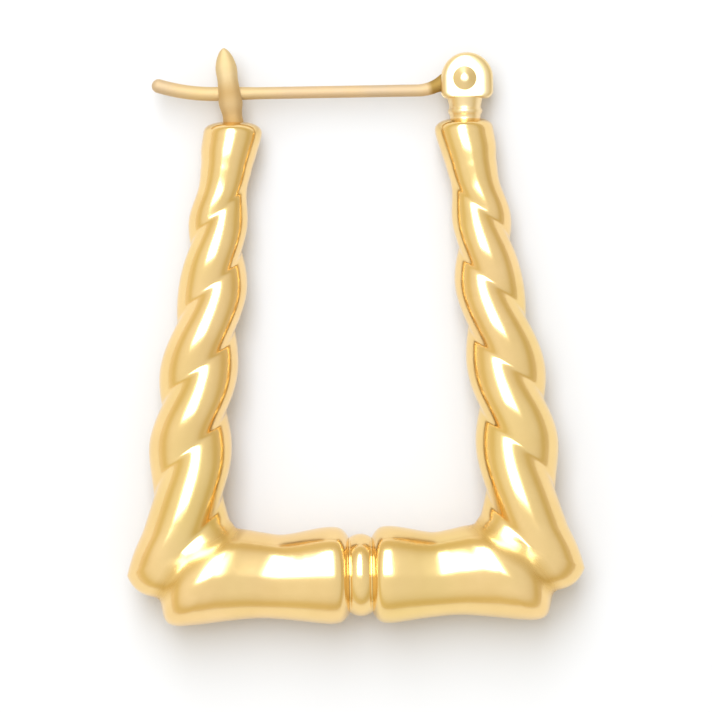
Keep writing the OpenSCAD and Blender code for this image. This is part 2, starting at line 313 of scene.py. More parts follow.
class HoopSizes(bpy.types.PropertyGroup):
    """Sizes of the twisted legs and the bamboo bar."""

    leg_top: place("Leg level", "Level of the catch's foot, a little below the tops", 13.3)
    bar_y: place("Bar", "Bar's axis above the earring's middle", -15.03)
    cap_h: length("Cap height", "Length of a leg's rounded top", 0.84)
    toe_h: length("Toe height", "Length of a leg's rounded foot in the corner", 2.4)
    groove_depth: share("Groove depth", "Depth of the grooves as a share of the radius", 0.23)
    strand_power: share("Strand power", "Lower makes fuller strands", 1.05, max=2.0)
    bar_r: length("Bar radius", "Radius at the swellings beside the ring", 3.05)
    flare_x: length("Flare", "Distance of the flares from the hoop's middle", 9.1)
    bar_end: length("Bar end", "Length of the bar beyond its flare", 3.35)
    bar_lean: share("Bar lean", "Lean of the flares as a share of their height", 0.6)
    ring_r: length("Ring radius", "Radius of the ring in the bar's middle", 2.58)
    ring_groove_r: length("Ring groove", "Radius in the grooves beside the ring", 2.34)
    ring_half_w: length("Ring half width", "From the ring's middle to a groove", 0.7)
    ring_shift: place("Ring shift", "Distance of the ring from the bar's middle", 0.3)
    fillet: length("Solder fillet", "Reach of the solder in the corners", 0.34)


class FittingSizes(bpy.types.PropertyGroup):
    """Sizes of the hinge, the catch and the ear post."""

    ear_r: length("Ear radius", "Radius of the hinge ears' round top", 1.62)
    ear_shift: place("Ear shift", "Ears' middle from the rivet, away from the post", 0.15)
    ear_drop: length("Ear drop", "Ears' lower edge below the rivet", 1.25)
    ear_corner: length("Ear corner", "Radius of the ears' lower corners", 0.45)
    ear_t: length("Ear thickness", "Thickness of each ear", 0.5)
    face_r: length("Face radius", "Half the width of an ear's flat face", 1.08)
    face_shift: place("Face shift", "Flat face's middle from the rivet", 0.08)
    face_drop: length("Face drop", "Flat face's lower edge below the rivet", 1.13)
    shoulder: length("Shoulder", "Height of the ears' rounded shoulder", 0.4)
    jaw_gap: length("Jaw gap", "Space between the ears and between the prongs", 0.95)
    ear_seat: length("Ear seat", "Bottom of the slot between the ears", 1.35)
    pin_r: length("Pin radius", "Radius of the rivet's pin", 0.4)
    pin_play: length("Pin play", "Space between the pin and the ears", 0.01)
    head_r: length("Head radius", "Radius of the rivet's heads", 0.73)
    head_h: length("Head height", "Height of the rivet's heads", 0.32)
    eye_r: length("Eye radius", "Outer radius of the wire's eye", 1.15)
    eye_t: length("Eye thickness", "Thickness of the wire's eye", 0.85)
    eye_bore: length("Eye bore", "Radius of the hole in the wire's eye", 0.45)
    neck_slope: angle("Neck slope", "Slope of the wire where it leaves the eye", 22)
    neck_bend: length("Neck bend", "Radius of the bend beside the eye", 2.7)
    neck_r: length("Neck radius", "Radius of the wire beside the eye", 0.41)
    swell: length("Swell", "Length over which the wire thickens", 3.0)
    tail_r: length("Tail radius", "Radius of the wire's free tail", 0.44)
    tail_bend: length("Tail bend", "Radius of the tail's bend", 12.0)
    tail_angle: angle("Tail angle", "Angle of the tail's bend", 17.5)
    catch_x: length("Catch", "Distance of the catch's foot from the middle", 7.18)
    catch_h: length("Catch height", "Height of the catch above the leg", 4.78)
    catch_lean: angle("Catch lean", "Lean of the catch away from the middle", 6.5)
    catch_play: length("Catch play", "Free space under the wire in the catch", 0.08)
    foot_sink: length("Foot sink", "How deep the catch is set into the leg", 0.7)
    edge_round: length("Edge round", "Radius of the fittings' worn edges", 0.06)


class GoldLook(bpy.types.PropertyGroup):
    """Colours and finish of the gold."""

    gold: colour("Gold", "Colour of the hoop", (0.93, 0.665, 0.31))
    # The hoop's deeper colour is shade painted in the grooves and soldered corners, and the tone of
    # its clouds
    shade_and_cloud_gold: colour("Groove gold", "Deeper colour in the grooves", (0.75, 0.49, 0.16))
    olive_gold: colour("Olive gold", "Greener patches of the hoop", (0.84, 0.65, 0.22))
    fitting_gold: colour("Fitting gold", "Colour of the hinge and the rivet", (0.93, 0.73, 0.44))
    wire_gold: colour("Wire gold", "Colour of the wire", (0.66, 0.515, 0.345))
    catch_gold: colour("Catch gold", "Colour of the catch", (0.68, 0.56, 0.43))
    # The catch's deeper colour is shade painted at its foot and under the wire, and the tone of its
    # clouds
    catch_shade_and_cloud: colour("Catch stain", "Colour of the catch's stained foot", (0.58, 0.37, 0.11))
    # Colour of the shadow of the hinge's ears, painted on the wire beside its eye
    tarnish: colour("Tarnish", "Colour of the wire beside its eye", (0.46, 0.30, 0.085))
    polish: share("Polish", "Roughness of the polished crests", 0.16)
    dull: share("Dull", "Added roughness in the grooves and of worn spots", 0.14)
    satin: share("Satin", "Roughness of the hinge and the rivet", 0.31)
    drawn: share("Drawn", "Roughness of the catch and the drawn wire", 0.72)


class StudioLook(bpy.types.PropertyGroup):
    """Light, floor and camera."""

    floor: colour("Floor", "Colour of the floor", (0.725, 0.71, 0.695))
    sky: colour("Sky", "Radiance of the studio overhead", (0.94, 0.94, 0.93))
    wall: colour("Wall", "Radiance of the studio's walls", (0.87, 0.85, 0.80))
    flag: colour("Flag", "Radiance of the dark flags round the table", (0.75, 0.665, 0.42))
    table: colour("Table", "Radiance of the table's far ends", (0.84, 0.76, 0.62))
    key: radiance("Key", "Radiance of the key light", 4.6)
    key_tint: colour("Key tint", "Colour of the key light", (0.9, 1.0, 1.15))
    glow: radiance("Glow", "Radiance round the key light", 0.5)
    glow_w: length("Glow width", "How far the glow reaches beyond the key light", 50)
    key_height: length("Key height", "Height of the key light", 600)
    key_left: place("Key left", "Left edge of the key light", -260)
    key_right: place("Key right", "Right edge of the key light", 80)
    key_near: place("Key near", "Near edge of the key light", 0)
    key_far: place("Key far", "Far edge of the key light", 1040)
    distance: length("Distance", "Camera's distance from the earring", 500)
    view_w: length("View width", "Width of the picture at the earring", 44.5)
    aim_x: place("Aim X", "Middle of the picture", 0.2375)
    aim_y: place("Aim Y", "Middle of the picture", -1.356)
    aim_z: length("Aim Z", "Height at which the picture has its width", 3.0)
    roll: angle("Roll", "Roll of the camera", -1.0)


def row_slope(rows, column, i):
    """Slope of one column of a table through the rows before and after row i."""
    a, b = rows[max(i - 1, 0)], rows[min(i + 1, len(rows) - 1)]
    return (getattr(b, column) - getattr(a, column)) / (b[0] - a[0])


def smooth(rows, column, at):
    """Smooth value of one column of a table, at a place along its first column."""
    i = 0
    while i < len(rows) - 2 and at > rows[i + 1][0]:
        i += 1
    span = rows[i + 1][0] - rows[i][0]
    t = (at - rows[i][0]) / span
    start = getattr(rows[i], column)
    rise = getattr(rows[i + 1], column) - start
    leave = row_slope(rows, column, i) * span
    meet = row_slope(rows, column, i + 1) * span
    return start + t * (leave + t * (3 * rise - 2 * leave - meet + t * (leave + meet - 2 * rise)))


def spread(rows, steps):
    """Up and radius pairs, evenly spread over a table with these columns."""
    low, high = rows[0].up, rows[-1].up
    ups = [low + (high - low) * i / steps for i in range(steps + 1)]
    return [(up, smooth(rows, "radius", up)) for up in ups]


def ramp(at, start, full):
    """Eased step from 0 at start to 1 at full."""
    t = min(1.0, max(0.0, (at - start) / (full - start)))
    return t * t * (3 - 2 * t)


def quarter(steps, first=1):
    """Sine and cosine at even steps of a quarter turn, from the given one to the last."""
    turns = [math.pi / 2 * i / steps for i in range(first, steps + 1)]
    return [(math.sin(a), max(0.0, math.cos(a))) for a in turns]


def math_operator(operation, swapped=False):
    """A Wire's operator, which adds one Math node for the Wire and another value."""

    def operator(self, other):
        pair = (other, self) if swapped else (self, other)
        return self.make.math(operation, *pair)

    return operator


class Wire:
    """A number on its way through a node tree. Its operators add Math nodes."""

    def __init__(self, make, socket):
        self.make = make
        self.socket = socket

    __add__ = math_operator("ADD")
    __radd__ = math_operator("ADD", True)
    __sub__ = math_operator("SUBTRACT")
    __rsub__ = math_operator("SUBTRACT", True)
    __mul__ = math_operator("MULTIPLY")
    __rmul__ = math_operator("MULTIPLY", True)
    __truediv__ = math_operator("DIVIDE")
    __rtruediv__ = math_operator("DIVIDE", True)
    __pow__ = math_operator("POWER")

    def __abs__(self):
        return self.make.math("ABSOLUTE", self)


class TreeMaker:
    """Adds nodes to one node tree."""

    def __init__(self, tree):
        self.tree = tree

    def node(self, kind, settings=None, **sockets):
        """A node of a kind, its settings set first, then its sockets' values or links. A socket is
        named by its identifier, or else by its label in small letters."""
        made = self.tree.nodes.new(kind)
        for name, value in (settings or {}).items():
            if name == "stops":
                set_stops(made.color_ramp, value)
            else:
                setattr(made, name, value)
        for name, value in sockets.items():
            self.feed(self.socket(made, name), value)
        return made

    @staticmethod
    def socket(made, name):
        """The input that a keyword stands for."""
        for socket in made.inputs:
            if socket.identifier == name:
                return socket
        label = name.replace("_", " ")
        return next(s for s in made.inputs if s.enabled and s.name.lower() == label)

    def feed(self, socket, value):
        """Sets a socket to a plain value, or links a socket or a Wire to it."""
        if isinstance(value, Wire):
            value = value.socket
        if isinstance(value, bpy.types.NodeSocket):
            self.tree.links.new(value, socket)
        else:
            socket.default_value = value

    def operated(self, kind, operation, values):
        """The output of one node that carries out an operation on some values."""
        made = self.node(kind, {"operation": operation})
        for socket, value in zip([s for s in made.inputs if s.enabled], values):
            self.feed(socket, value)
        return next(s for s in made.outputs if s.enabled)

    def math(self, operation, *values):
        """A Wire from one Math node."""
        return Wire(self, self.operated("ShaderNodeMath", operation, values))

    def vector(self, operation, *values):
        """The output of one Vector Math node."""
        return self.operated("ShaderNodeVectorMath", operation, values)

    def clamp(self, value, low=0.0, high=1.0):
        """A Wire held between low and high."""
        return self.math("MINIMUM", self.math("MAXIMUM", value, low), high)

    def mix(self, factor, a, b):
        """A colour between a and b."""
        made = self.node(
            "ShaderNodeMix", {"data_type": "RGBA"}, Factor_Float=factor, A_Color=a, B_Color=b
        )
        return next(s for s in made.outputs if s.enabled)


def set_stops(color_ramp, stops):
    """Sets a ramp's stops, given as place and linear colour."""
    while len(color_ramp.elements) > len(stops):
        color_ramp.elements.remove(color_ramp.elements[-1])
    while len(color_ramp.elements) < len(stops):
        color_ramp.elements.new(1.0)
    for element, (at, tint) in zip(color_ramp.elements, stops):
        element.position = at
        element.color = rgba(tint)


def sweep_tree():
    """Node tree that skins a row of sections. Each point of its input is one section, with its half
    axes, turn, groove depth and painted shade, and the first and last are the skin's end points."""
    tree = bpy.data.node_groups.new("Swept sections", "GeometryNodeTree")
    tree.interface.new_socket("Geometry", in_out="OUTPUT", socket_type="NodeSocketGeometry")
    for name, kind in (
        ("Geometry", "Geometry"), ("Sides", "Int"), ("Strand Power", "Float"),
        ("Squareness", "Float"), ("Finish", "Material"),
    ):
        tree.interface.new_socket(name, in_out="INPUT", socket_type=f"NodeSocket{kind}")
    make = TreeMaker(tree)
    given = make.node("NodeGroupInput").outputs
    rows = given["Geometry"]
    sides = Wire(make, given["Sides"])
    square = Wire(make, given["Squareness"])

    # The two end points are the cylinder's own, and the sections between them bound its segments
    count = Wire(make, make.node("GeometryNodeAttributeDomainSize", geometry=rows).outputs[0])
    skin = make.node(
        "GeometryNodeMeshCylinder", {"fill_type": "TRIANGLE_FAN"},
        vertices=sides, side_segments=count - 3,
    )
    place_on = Wire(make, make.node("GeometryNodeInputIndex").outputs[0]) - 1.0
    row = make.math("FLOOR", place_on / sides) + 1.0
    side = make.math("FLOORED_MODULO", place_on, sides) / sides * math.tau

    def from_row(field, kind):
        """The value of a field at the section that a point of the skin belongs to."""
        found = make.node(
            "GeometryNodeSampleIndex", {"data_type": kind, "domain": "POINT"},
            geometry=rows, value=field, index=row,
        )
        return found.outputs["Value"]

    def attribute(name, kind):
        """A named attribute's value at the section that a point of the skin belongs to."""
        field = make.node("GeometryNodeInputNamedAttribute", {"data_type": kind}, name=name)
        return from_row(field.outputs["Attribute"], kind)

    wave = make.math("SINE", side)
    height = (wave * wave + GROOVE_ROUND ** 2) / (1.0 + GROOVE_ROUND ** 2)
    strand = height ** (Wire(make, given["Strand Power"]) * 0.5)
    crease = Wire(make, attribute("groove", "FLOAT")) * (1.0 - strand)
    # Groove depth and each section's painted shade, which set the shade painted in the material
    shade_painted = crease + Wire(make, attribute("stain", "FLOAT"))
    around = Wire(make, attribute("turn", "FLOAT")) + side
    cosine = make.math("COSINE", around)
    sine = make.math("SINE", around)
    corner = abs(cosine) ** square + abs(sine) ** square
    reach = (1.0 - crease) * corner ** (-1.0 / square)
    middle = from_row(make.node("GeometryNodeInputPosition").outputs[0], "FLOAT_VECTOR")
    across = make.vector("SCALE", attribute("across", "FLOAT_VECTOR"), reach * cosine)
    upward = make.vector("SCALE", attribute("up", "FLOAT_VECTOR"), reach * sine)
    point = make.vector("ADD", make.vector("ADD", middle, across), upward)
    placed = make.node("GeometryNodeSetPosition", geometry=skin.outputs["Mesh"], position=point)
    marked = make.node(
        "GeometryNodeStoreNamedAttribute", {"data_type": "FLOAT", "domain": "POINT"},
        geometry=placed.outputs[0], name="crease", value=shade_painted,
    )
    shaded = make.node("GeometryNodeSetShadeSmooth", geometry=marked.outputs[0])
    real = make.node("GeometryNodeRealizeInstances", geometry=shaded.outputs[0])
    finished = make.node("GeometryNodeSetMaterial", geometry=real.outputs[0],
                         material=given["Finish"])
    make.node("NodeGroupOutput", geometry=finished.outputs[0])
    return tree


def section(middle, travel, half_w, half_d, turn=0.0, groove=0.0, stain=0.0):
    """A section that lies across a direction of travel in the XY plane."""
    across = Vector((travel[1], -travel[0], 0.0)) * half_w
    return Section(Vector(middle), across, Vector((0.0, 0.0, half_d)), turn, groove, stain)


def end_point(middle):
    """The point in which a skin ends."""
    return section(middle, (0.0, 0.0), 0.0, 0.0)


def round_rows(pairs, origin, upright):
    """Sections of a round body along +Z if upright, or else +Y, from height and radius pairs."""
    rows = []
    for height, radius in pairs:
        if upright:
            middle = origin + Vector((0.0, 0.0, height))
            rows.append(Section(middle, Vector((radius, 0.0, 0.0)), Vector((0.0, -radius, 0.0))))
        else:
            middle = origin + Vector((0.0, height, 0.0))
            rows.append(section(middle, (0.0, 1.0), radius, radius))
    return [end_point(rows[0].middle), *rows, end_point(rows[-1].middle)]


def new_object(name, data):
    """An object for some data, linked to the scene."""
    made = bpy.data.objects.new(name, data)
    bpy.context.scene.collection.objects.link(made)
    return made


def new_solid(name, points, faces, finish=None):
    """A closed mesh object from points and faces, its normals outwards."""
    mesh = bmesh.new()
    verts = [mesh.verts.new(point) for point in points]
    for face in faces:
        mesh.faces.new([verts[i] for i in face])
    bmesh.ops.recalc_face_normals(mesh, faces=mesh.faces)
    data = bpy.data.meshes.new(name)
    mesh.to_mesh(data)
    mesh.free()
    if finish:
        data.materials.append(finish)
    return new_object(name, data)


def plain_mesh(name, source):
    """A plain mesh object from a source object with its modifiers applied. The source goes."""
    depsgraph = bpy.context.evaluated_depsgraph_get()
    mesh = bpy.data.meshes.new_from_object(
        source.evaluated_get(depsgraph), preserve_all_data_layers=True, depsgraph=depsgraph
    )
    source.modifiers.clear()
    bpy.data.objects.remove(source, do_unlink=True)
    mesh.name = name
    return new_object(name, mesh)


def swept(name, sections, sides, finish, strand_power=1.0, squareness=2.0):
    """A closed skin over a row of sections."""
    rows = bpy.data.meshes.new(name + "_rows")
    rows.from_pydata([s.middle for s in sections], [], [])
    for field in ("across", "up"):
        layer = rows.attributes.new(field, "FLOAT_VECTOR", "POINT")
        layer.data.foreach_set("vector", [c for s in sections for c in getattr(s, field)])
    for field in ("turn", "groove", "stain"):
        layer = rows.attributes.new(field, "FLOAT", "POINT")
        layer.data.foreach_set("value", [getattr(s, field) for s in sections])
    source = new_object(name + "_rows", rows)
    tree = bpy.data.node_groups.get("Swept sections") or sweep_tree()
    modifier = source.modifiers.new("Sweep", "NODES")
    modifier.node_group = tree
    values = {
        "Sides": sides, "Strand Power": strand_power, "Squareness": squareness, "Finish": finish,
    }
    for item in tree.interface.items_tree:
        if item.name in values:
            modifier[item.identifier] = values[item.name]
    return plain_mesh(name, source)


def joined(name, base, others, operation="UNION"):
    """One solid from a base and others, which all go."""
    for i, other in enumerate(others):
        modifier = base.modifiers.new(f"Join {i}", "BOOLEAN")
        modifier.operation = operation
        modifier.solver = "EXACT"
        modifier.object = other
    made = plain_mesh(name, base)
    for other in others:
        bpy.data.objects.remove(other, do_unlink=True)
    return made


def with_worn_edges(name, solid, width):
    """A solid with its sharp edges rounded."""
    modifier = solid.modifiers.new("Worn edges", "BEVEL")
    modifier.width = width
    modifier.segments = WORN_FACES
    modifier.limit_method = "ANGLE"
    modifier.angle_limit = SOFT_ANGLE
    return plain_mesh(name, solid)


def surface_of(solid):
    """Search tree over a solid's surface."""
    return BVHTree.FromPolygons(
        [v.co for v in solid.data.vertices], [p.vertices for p in solid.data.polygons]
    )


def solder(solid, surfaces, reach):
    """Fills the corners between joined surfaces as solder does, by up to a quarter of its reach,
    and paints shade in them through the crease attribute."""
    mesh = bmesh.new()
    mesh.from_mesh(solid.data)
    bmesh.ops.remove_doubles(mesh, verts=mesh.verts, dist=WELD * MM)
    mesh.normal_update()
    crease = mesh.verts.layers.float["crease"]
    near = []
    for vert in mesh.verts:
        found = [surface.find_nearest(vert.co, SOLDER_SPREAD * reach)[3] for surface in surfaces]
        found = sorted(distance for distance in found if distance is not None)
        if len(found) > 1:
            # Shade painted near the joins, strongest where the surfaces meet
            stain = SOLDER_SHADE * (1 - found[1] / (SOLDER_SPREAD * reach))
            vert[crease] = max(vert[crease], stain)
            if found[1] < reach:
                near.append((vert, found[1], vert.normal.copy()))
    for vert, distance, normal in near:
        vert.co += normal * (reach - distance) ** 2 / (4 * reach)
    close = [vert for vert, distance, normal in near if distance < SOLDER_SOFT * reach]
    for _ in range(SOLDER_PASSES):
        bmesh.ops.smooth_vert(mesh, verts=close, factor=SOLDER_SMOOTHING, use_axis_x=True,
                              use_axis_y=True, use_axis_z=True)
    mesh.to_mesh(solid.data)
    mesh.free()


def press_into(solid, axis, low, high=None):
    """Presses a solid to an exact extent along an axis, or only its low end."""
    values = [v.co[axis] for v in solid.data.vertices]
    least, most = min(values), max(values)
    scale = ((most if high is None else high) - low) / (most - least)
    for v in solid.data.vertices:
        v.co[axis] = low + (v.co[axis] - least) * scale


def finish_piece(piece, finish, body, node, soft_angle=None):
    """Gives a piece its one material, shades it and ties it to the frame."""
    piece.data.materials.clear()
    piece.data.materials.append(finish)
    for face in piece.data.polygons:
        face.material_index = 0
    piece.data.validate()
    piece.data.shade_smooth()
    if soft_angle is not None:
        piece.data.set_sharp_from_angle(angle=soft_angle)
    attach(piece, body)
    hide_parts(node)


def leg_sections(sizes, side):
    """Sections of the right leg from its top, for side 1, or the left one from its foot, for -1."""
    top_z = LEG[0].half_w * MM
    leg_l = LEG[-1].down

    def leg_section(down, size, push):
        """The section some way down, shrunk by size and pushed on past its place."""
        tilt = math.radians(smooth(LEG, "tilt", down))
        onward = Vector((side * math.sin(tilt), -math.cos(tilt), 0.0))
        middle = Vector((
            side * smooth(LEG, "out", down) * MM,
            sizes.leg_top - down * MM,
            top_z + (sizes.bar_r + FOOT_LIFT * MM - top_z) * down / leg_l,
        )) + onward * push
        half_w = smooth(LEG, "half_w", down) * MM * size
        half_d = smooth(LEG, "half_d", down) * MM * size
        turned = math.pi / 2 + math.pi * smooth(LEG, "half_turns", down)
        groove = sizes.groove_depth * ramp(down, GROOVE_START, GROOVE_FULL)
        return section(middle, onward * side, half_w, half_d, turned, groove)

    top = LEG[0].down
    cap = sizes.cap_h / MM
    rows = []
    for sine, cosine in quarter(CAP_STEPS, 0):
        sunk = 1 - cosine ** (2 / CAP_FULL)
        rows.append(leg_section(top + cap * sunk, sine ** (2 / CAP_FULL), 0.0))
    for i in range(1, LEG_STEPS + 1):
        down = top + cap + (leg_l - top - cap) * i / LEG_STEPS
        rows.append(leg_section(down, 1.0, 0.0))
    for sine, cosine in quarter(TOE_STEPS):
        size = cosine ** (2 / TOE_FULL)
        rows.append(leg_section(leg_l, size, sizes.toe_h * sine ** (2 / TOE_FULL)))
    return rows if side > 0 else rows[::-1]


def bar_sections(sizes):
    """Sections of the bamboo bar from its left end to its right end."""

    def ring_shade(out):
        """How much shade is painted on the bar, some way out from its ring's middle."""
        away = abs(out - sizes.ring_half_w) / MM
        return RING_SHADE * max(0.0, 1 - away / RING_SHADE_REACH)

    def half(side):
        """Sections of one half, from the ring's middle outwards."""
        reach = sizes.flare_x - side * sizes.ring_shift
        flare_r = sizes.bar_r * BAR[-1].swell
        rows = []
        for i in range(RING_STEPS):
            t = i / RING_STEPS
            radius = sizes.ring_r - (sizes.ring_r - sizes.ring_groove_r) * t * t
            rows.append((t * sizes.ring_half_w, radius, 0.0))
        for i in range(SEGMENT_STEPS + 1):
            t = (i / SEGMENT_STEPS) ** BAR_CROWD
            rows.append((
                sizes.ring_half_w + (reach - sizes.ring_half_w) * t,
                sizes.bar_r * smooth(BAR, "swell", t),
                sizes.bar_lean * smooth(BAR, "lean", t),
            ))
        rows += [
            (reach + sizes.bar_end * sine, flare_r * cosine, sizes.bar_lean * cosine ** 2)
            for sine, cosine in quarter(END_STEPS)
        ]
        return [
            Section(
                Vector((sizes.ring_shift + side * out, sizes.bar_y, sizes.bar_r)),
                Vector((side * lean * radius, -radius, 0.0)),
                Vector((0.0, 0.0, radius)), stain=ring_shade(out),
            )
            for out, radius, lean in rows
        ]

    # Both halves have the section in the ring's middle, which is needed once
    return half(-1)[:0:-1] + half(1)


def build_hoop_tube(context):
    """The two twisted legs and the bamboo bar, soldered into one tube."""
    sizes = context.scene.earring_hoop
    gold = gold_finish(context, HOOP_GOLD)
    bar = swept("bar", bar_sections(sizes), BAR_SIDES, gold)
    legs = [
        swept("leg", leg_sections(sizes, side), LEG_SIDES, gold, sizes.strand_power)
        for side in (1, -1)
    ]
    surfaces = [surface_of(solid) for solid in (bar, *legs)]
    tube = joined("hoop_tube", bar, legs)
    solder(tube, surfaces, sizes.fillet)
    press_into(tube, 0, HOOP_LOW.x, HOOP_HIGH.x)
    press_into(tube, 1, HOOP_LOW.y)
    press_into(tube, 2, HOOP_LOW.z, HOOP_HIGH.z)
    finish_piece(tube, gold, HOOP_BODY, "hoop")


def slot_cutter(name, x, bottom, half_gap, height):
    """A slot's shape: a slab along X with a round lower edge."""
    outline = []
    for i in range(SLOT_STEPS + 1):
        a = math.pi * (1 + i / SLOT_STEPS)
        outline.append((bottom + half_gap * (1 + math.sin(a)), HINGE.z + half_gap * math.cos(a)))
    outline.append((bottom + height, HINGE.z + half_gap))
    outline.append((bottom + height, HINGE.z - half_gap))
    count = len(outline)
    points = [(end, y, z) for end in (x - height, x + height) for y, z in outline]
    faces = [(k, (k + 1) % count, count + (k + 1) % count, count + k) for k in range(count)]
    return new_solid(name, points, [*faces, range(count), range(count, 2 * count)])


def build_catch(context):
    """The two prongs that the wire snaps into, on the left leg's top."""
    hoop = context.scene.earring_hoop
    sizes = context.scene.earring_fittings
    gold = gold_finish(context, CATCH_GOLD)
    travel = Vector((-math.sin(sizes.catch_lean), math.cos(sizes.catch_lean), 0.0))
    foot = Vector((-sizes.catch_x, hoop.leg_top, HINGE.z))
    sunk = foot - travel * sizes.foot_sink
    rows = [end_point(sunk), section(sunk, travel, CATCH[0].half_w * MM, CATCH[0].half_d * MM)]
    for i in range(CATCH_STEPS + 1):
        t = i / CATCH_STEPS
        half_w = smooth(CATCH, "half_w", t) * MM
        half_d = smooth(CATCH, "half_d", t) * MM
        rows.append(section(foot + travel * sizes.catch_h * t, travel, half_w, half_d,
                            stain=smooth(CATCH, "stain", t)))
    rows.append(end_point(foot + travel * sizes.catch_h))
    blank = swept("catch_blank", rows, ROUND_SIDES, gold, squareness=CATCH_SQUARE)
    bottom = WIRE_Y - sizes.tail_r - sizes.catch_play
    slot = slot_cutter("catch_slot", -sizes.catch_x, bottom, sizes.jaw_gap / 2, sizes.catch_h)
    prongs = joined("catch_prongs", blank, [slot], "DIFFERENCE")
    catch = with_worn_edges("catch", prongs, sizes.edge_round)
    finish_piece(catch, gold, HOOP_BODY, "hoop", SOFT_ANGLE)


def ear_outline(radius, drop, corner, shift):
    """Outline of an ear about the rivet, round at the top and straight at the bottom."""
    points = []
    for i in range(EAR_ARC_STEPS + 1):
        a = math.pi * i / EAR_ARC_STEPS
        points.append(Vector((shift + radius * math.cos(a), radius * math.sin(a), 0.0)))
    for side, start in ((-1, math.pi), (1, 1.5 * math.pi)):
        middle = Vector((shift + side * (radius - corner), corner - drop, 0.0))
        for i in range(CORNER_STEPS + 1):
            a = start + math.pi / 2 * i / CORNER_STEPS
            points.append(middle + Vector((math.cos(a), math.sin(a), 0.0)) * corner)
    return points


def hinge_ear(name, sizes, side, finish):
    """One drilled hinge ear, its outer face up for side 1, with a rounded shoulder."""
    outer = ear_outline(sizes.ear_r, sizes.ear_drop, sizes.ear_corner, sizes.ear_shift)
    face = ear_outline(sizes.face_r, sizes.face_drop, sizes.ear_corner * FACE_CORNER,
                       sizes.face_shift)
    base = sizes.jaw_gap / 2
    top = base + sizes.ear_t
    wall = top - sizes.shoulder

    def level(outline, z, inset=0.0):
        """One ring of points at a height, drawn in towards the bore."""
        lift = HINGE + Vector((0.0, 0.0, side * z))
        bore_r = sizes.pin_r + sizes.pin_play
        return [point.lerp(point.normalized() * bore_r, inset) + lift for point in outline]

    rings = [level(outer, base, inset) for inset in FACE_RINGS[::-1]]
    rings += [level(outer, base), level(outer, wall)]
    for sine, cosine in quarter(SHOULDER_STEPS):
        between = [o.lerp(f, 1 - cosine) for o, f in zip(outer, face)]
        rings.append(level(between, wall + sizes.shoulder * sine))
    rings += [level(face, top, inset) for inset in FACE_RINGS]
    count = len(outer)
    faces = []
    for i in range(len(rings)):
        here = i * count
        after = (i + 1) % len(rings) * count
        for k in range(count):
            onward = (k + 1) % count
            faces.append((here + k, here + onward, after + onward, after + k))
    return new_solid(name, [point for ring in rings for point in ring], faces, finish)


def build_hinge(context):
    """The two drilled ears on their round neck."""
    sizes = context.scene.earring_fittings
    gold = gold_finish(context, HINGE_GOLD)
    pairs = [(up * MM, radius * MM) for up, radius in spread(NECK, NECK_STEPS)]
    neck = swept("hinge_neck", round_rows(pairs, HINGE, False), ROUND_SIDES, gold)
    slot = slot_cutter("hinge_slot", HINGE.x, HINGE.y - sizes.ear_seat, sizes.jaw_gap / 2,
                       SLOT_RISE * sizes.ear_r)
    neck = joined("hinge_neck", neck, [slot], "DIFFERENCE")
    ears = [hinge_ear("hinge_ear", sizes, side, gold) for side in (1, -1)]
    bracket = joined("hinge_bracket", neck, ears)
    hinge = with_worn_edges("hinge_ears", bracket, sizes.edge_round)
    finish_piece(hinge, gold, HOOP_BODY, "hoop", SOFT_ANGLE)


def wire_sections(sizes):
    """Sections of the ear wire from inside its eye to its tip."""
    slope = sizes.neck_slope
    drop = HINGE.y - WIRE_Y
    bend = sizes.neck_bend
    neck_l = (drop - bend * (1 - math.cos(slope))) / math.sin(slope)
    start = HINGE - Vector((NECK_END * MM, 0.0, 0.0))

    def downhill(a):
        """The wire's direction, away from the hinge, where it falls at an angle."""
        return Vector((-math.cos(a), -math.sin(a), 0.0))

    onward = downhill(slope)
    rows = [end_point(start)]
    for i in range(WIRE_NECK_STEPS):
        t = i / WIRE_NECK_STEPS
        half_w = sizes.neck_r * (1 + NECK_BROAD * (1 - ramp(t, NECK_HOLD, 1.0)))
        rows.append(section(start + onward * neck_l * t, onward, half_w, sizes.neck_r))
    bend_from = start + onward * neck_l
    for i in range(WIRE_BEND_STEPS + 1):
        t = i / WIRE_BEND_STEPS
        a = slope * (1 - t)
        middle = bend_from + Vector((
            bend * (math.sin(a) - math.sin(slope)), bend * (math.cos(slope) - math.cos(a)), 0.0,
        ))
        radius = sizes.neck_r + (WIRE_R - sizes.neck_r) * t
        rows.append(section(middle, downhill(a), radius, radius))
    straight = downhill(0.0)
    swell_from = middle + straight * WIRE_LENGTH
    for i in range(SWELL_STEPS + 1):
        t = i / SWELL_STEPS
        radius = WIRE_R + (sizes.tail_r - WIRE_R) * ramp(t, 0.0, 1.0)
        rows.append(section(swell_from + straight * sizes.swell * t, straight, radius, radius))
    tail_from = swell_from + straight * sizes.swell
    for i in range(1, TAIL_STEPS + 1):
        a = sizes.tail_angle * i / TAIL_STEPS
        middle = tail_from + Vector((-math.sin(a), 1 - math.cos(a), 0.0)) * sizes.tail_bend
        rows.append(section(middle, downhill(-a), sizes.tail_r, sizes.tail_r))
    heading = downhill(-sizes.tail_angle)
    for sine, cosine in quarter(TIP_STEPS)[:-1]:
        radius = sizes.tail_r * cosine
        rows.append(section(middle + heading * sizes.tail_r * sine, heading, radius, radius))
    rows.append(end_point(middle + heading * sizes.tail_r))
    return rows


